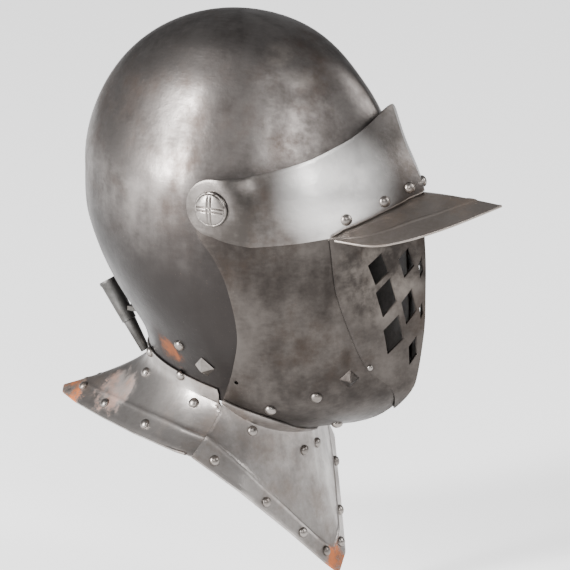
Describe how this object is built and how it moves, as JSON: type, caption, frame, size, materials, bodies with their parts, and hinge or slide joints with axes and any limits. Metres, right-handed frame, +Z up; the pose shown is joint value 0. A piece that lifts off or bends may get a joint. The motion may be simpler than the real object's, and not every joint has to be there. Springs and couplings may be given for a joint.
{
  "type": "cuirassier helmet",
  "caption": "Closed steel horseman's helmet: round bowl, visor with brow plate and peak, pierced face plate, chin bevor, pointed neck plates and a plume socket.",
  "frame": {"origin": "inside of the bowl's crown, where the head carries the helmet", "axes": "+Z up, the face looks along -Y, +X to the wearer's left"},
  "size_m": [0.1956, 0.3467, 0.3988],
  "materials": {
    "bowl": "aged, worn polished steel",
    "gorget": "aged, worn polished steel",
    "brow": "aged, worn polished steel",
    "peak": "aged, worn polished steel",
    "mask": "aged, worn polished steel",
    "rivets": "aged, worn polished steel",
    "socket": "aged, worn polished steel"
  },
  "bodies": {
    "bowl": {"bowl_rivet_left": "rivets", "bowl_rivet_right": "rivets", "bowl_stud_left": "rivets", "bowl_stud_right": "rivets", "plume_bracket": "socket", "plume_tube": "socket", "rear_gorget": "gorget", "rear_gorget_rivet_1_left": "rivets", "rear_gorget_rivet_1_right": "rivets", "rear_gorget_rivet_2_left": "rivets", "rear_gorget_rivet_2_right": "rivets", "rear_gorget_rivet_3_left": "rivets", "rear_gorget_rivet_3_right": "rivets", "rear_gorget_rivet_4_left": "rivets", "rear_gorget_rivet_4_right": "rivets", "rosette_left": "rivets", "rosette_right": "rivets", "skull": "bowl"},
    "bevor": {"bevor_plate": "mask", "bevor_rivet_1_left": "rivets", "bevor_rivet_1_right": "rivets", "bevor_rivet_2_left": "rivets", "bevor_rivet_2_right": "rivets", "bevor_rivet_3_left": "rivets", "bevor_rivet_3_right": "rivets", "bevor_stud_left": "rivets", "bevor_stud_right": "rivets", "face_plate": "mask", "face_rivet_left": "rivets", "face_rivet_right": "rivets", "front_gorget": "gorget", "front_gorget_rivet_1_left": "rivets", "front_gorget_rivet_1_right": "rivets", "front_gorget_rivet_2_left": "rivets", "front_gorget_rivet_2_right": "rivets"},
    "visor": {"brow_plate": "brow", "peak": "peak", "visor_rivet_1_left": "rivets", "visor_rivet_1_right": "rivets", "visor_rivet_2_left": "rivets", "visor_rivet_2_right": "rivets", "visor_rivet_3_left": "rivets", "visor_rivet_3_right": "rivets"}
  },
  "joints": [
    {"name": "bevor_hinge", "type": "hinge", "parent": "bowl", "child": "bevor", "pos_m": [0, -0.0274, -0.1144], "axis": [-1, 0, 0], "range_deg": [0, 12]},
    {"name": "visor_hinge", "type": "hinge", "parent": "bevor", "child": "visor", "pos_m": [0, -0.0274, -0.1144], "axis": [-1, 0, 0], "range_deg": [0, 20]}
  ]
}
